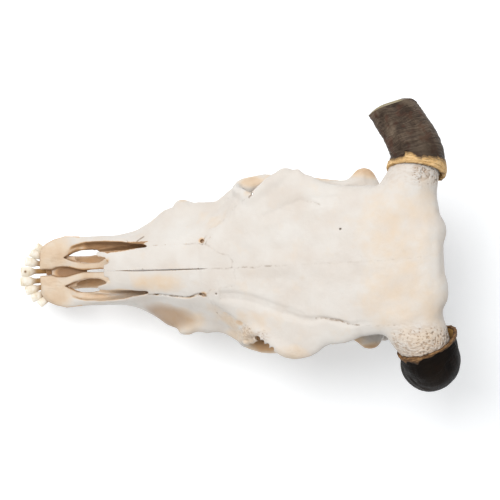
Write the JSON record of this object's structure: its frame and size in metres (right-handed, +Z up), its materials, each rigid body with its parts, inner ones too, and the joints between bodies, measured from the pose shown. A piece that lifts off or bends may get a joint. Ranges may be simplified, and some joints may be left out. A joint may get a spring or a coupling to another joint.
{
  "type": "cow skull with horns",
  "caption": "Cleaned skull of an adult cow with its lower jaw and teeth, lying on the jaw, with two short sawn-off horn sheaths on their bony cores.",
  "frame": {"origin": "middle of the bounding box in X and Y, at its foot: the table that the lower jaw stands on", "axes": "-X towards the nose, +X towards the poll, +Y towards the animal's right side, +Z up"},
  "size_m": [0.5498, 0.3558, 0.3023],
  "materials": {
    "cleaned_bone": "matte cleaned bone",
    "snout_bone": "matte bone, browner and more porous",
    "jaw_bone": "matte bone with ivory teeth",
    "brown_horn": "satin ridged horn",
    "black_horn": "satin dark horn"
  },
  "bodies": {
    "root": {"cranium": "cleaned_bone", "maxilla_right": "cleaned_bone", "maxilla_left": "cleaned_bone", "nasal_right": "cleaned_bone", "nasal_left": "cleaned_bone", "zygomatic_right": "cleaned_bone", "zygomatic_left": "cleaned_bone", "premaxilla_right": "snout_bone", "premaxilla_left": "snout_bone", "mandible_right": "jaw_bone", "mandible_left": "jaw_bone", "horn_right": "brown_horn", "horn_left": "black_horn"}
  },
  "joints": []
}
